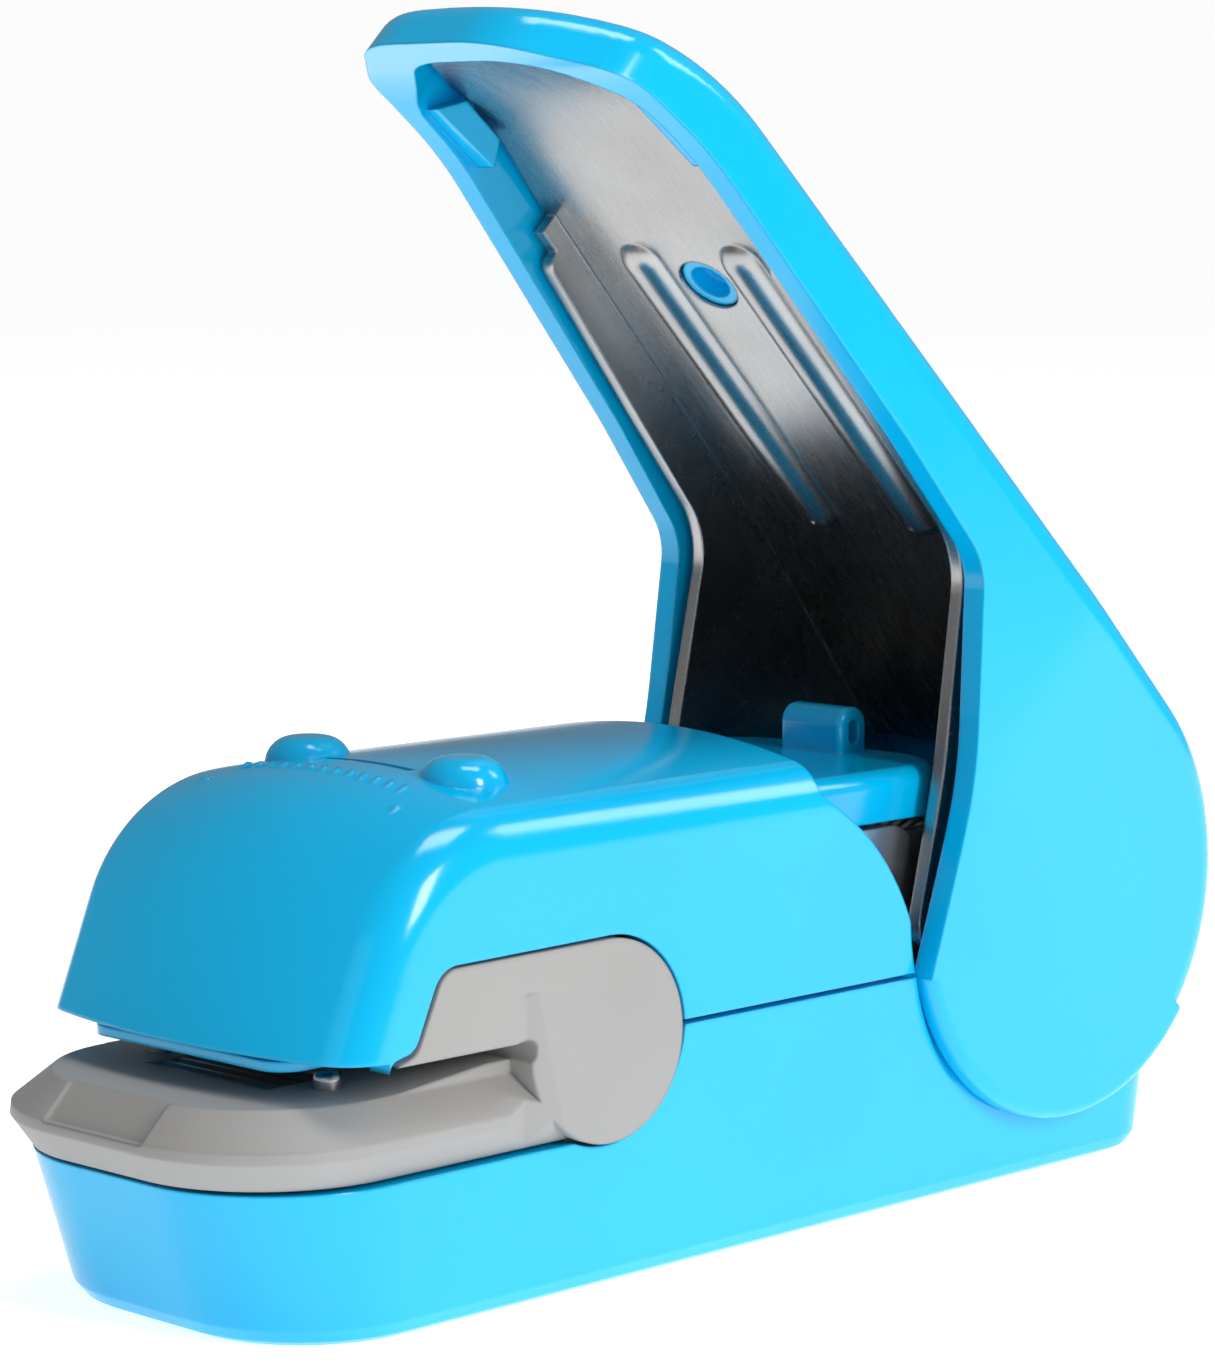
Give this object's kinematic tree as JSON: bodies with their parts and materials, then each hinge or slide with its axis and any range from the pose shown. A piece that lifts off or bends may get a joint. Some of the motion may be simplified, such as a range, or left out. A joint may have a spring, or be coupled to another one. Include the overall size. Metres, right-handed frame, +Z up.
{
  "type": "staple-free press stapler",
  "caption": "Hand-pressed staple-free stapler: raised hinged handle with a steel channel drives a crimping arm inside a rounded body; grey flat jaws with a paper slot at the front.",
  "frame": {"origin": "centre of the object's box on the surface it stands on, with the handle raised", "axes": "+X across the width, +Y from the jaws to the hinge, +Z up"},
  "size_m": [0.0322, 0.0948, 0.0818],
  "materials": {
    "body_plastic": "satin-gloss moulded ABS, cyan blue",
    "jaw_plastic": "fine matte moulded plastic, warm light grey",
    "frame_steel": "stamped and plated steel",
    "lever_steel": "bright plated sheet steel",
    "die_steel": "hardened and ground steel",
    "pin_steel": "turned steel",
    "screw_steel": "zinc plated steel",
    "spring_steel": "oiled spring wire",
    "bush_plastic": "natural acetal"
  },
  "bodies": {
    "base": {"base_shell": "body_plastic", "base_screws": "screw_steel", "steel_frame": "frame_steel", "jaw_guide": "jaw_plastic", "guide_posts": "pin_steel", "lower_die": "die_steel", "seat_screws": "screw_steel", "upper_cover": "body_plastic", "tail_cover": "body_plastic", "handle_pin": "pin_steel", "pin_clips": "pin_steel", "throat_axle": "pin_steel", "hinge_bushes": "bush_plastic", "axle_spacers": "bush_plastic", "return_spring": "spring_steel"},
    "press_arm": {"press_arm": "frame_steel", "nose_block": "body_plastic", "upper_die": "die_steel", "die_screw": "screw_steel"},
    "handle": {"handle_shell": "body_plastic", "lever_channel": "lever_steel", "drive_pin": "pin_steel"}
  },
  "joints": [
    {"name": "handle_hinge", "type": "hinge", "parent": "base", "child": "handle", "pos_m": [0, 0.02905, 0.021], "axis": [1, 0, 0], "range_deg": [0, 41.5], "stiffness_Nm_per_rad": 0.052, "springref_deg": -45.84, "deforming": ["return_spring"]},
    {"name": "press_arm_hinge", "type": "hinge", "parent": "base", "child": "press_arm", "pos_m": [0, -0.01725, 0.0164], "axis": [1, 0, 0], "range_deg": [0, 3.9]}
  ],
  "couplings": [
    {"joint": "press_arm_hinge", "follows": "handle_hinge", "ratio": 0.0925}
  ]
}
